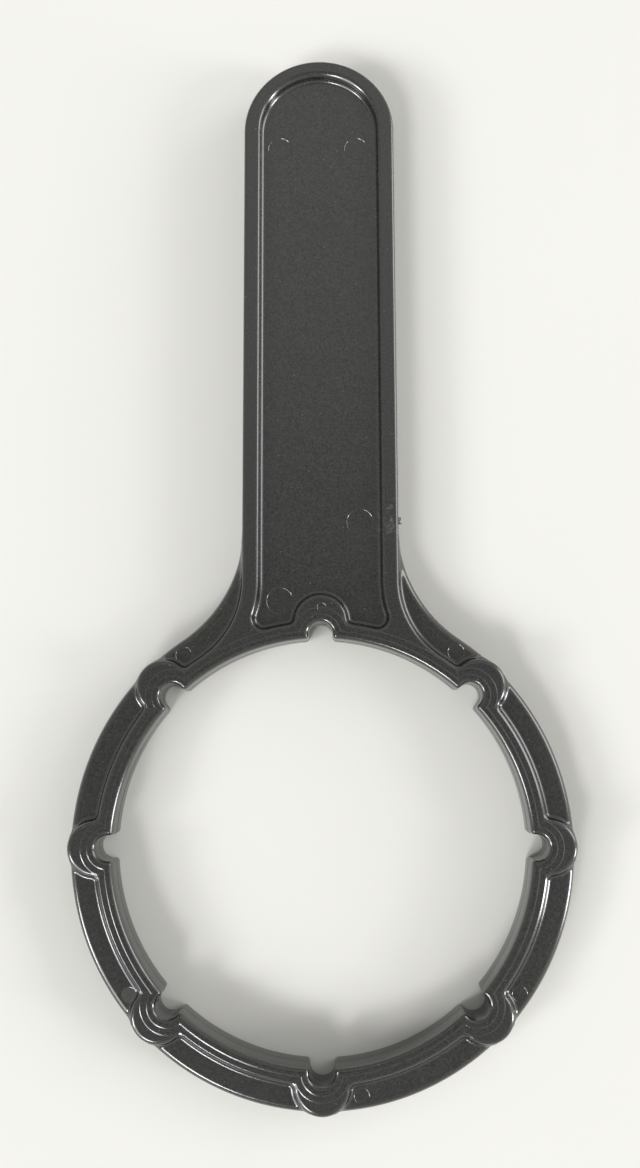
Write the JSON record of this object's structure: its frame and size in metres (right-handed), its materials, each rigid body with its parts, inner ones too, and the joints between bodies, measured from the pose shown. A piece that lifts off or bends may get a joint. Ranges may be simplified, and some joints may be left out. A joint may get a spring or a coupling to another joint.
{
  "type": "filter housing wrench",
  "caption": "Flat one-piece ring wrench with a notched bore and a long panelled handle, for turning the screw-on bowl of a water filter housing.",
  "frame": {"origin": "centre of the bore, half way through the thickness", "axes": "+Z along the bore axis towards the side with the pin marks, +Y towards the handle end, +X to the right of the handle"},
  "size_m": [0.1446, 0.3113, 0.0136],
  "materials": {
    "black_plastic": "satin black moulded plastic, smooth rim with fine tool marks, faintly grained panel"
  },
  "bodies": {
    "root": {"wrench": "black_plastic"}
  },
  "joints": []
}
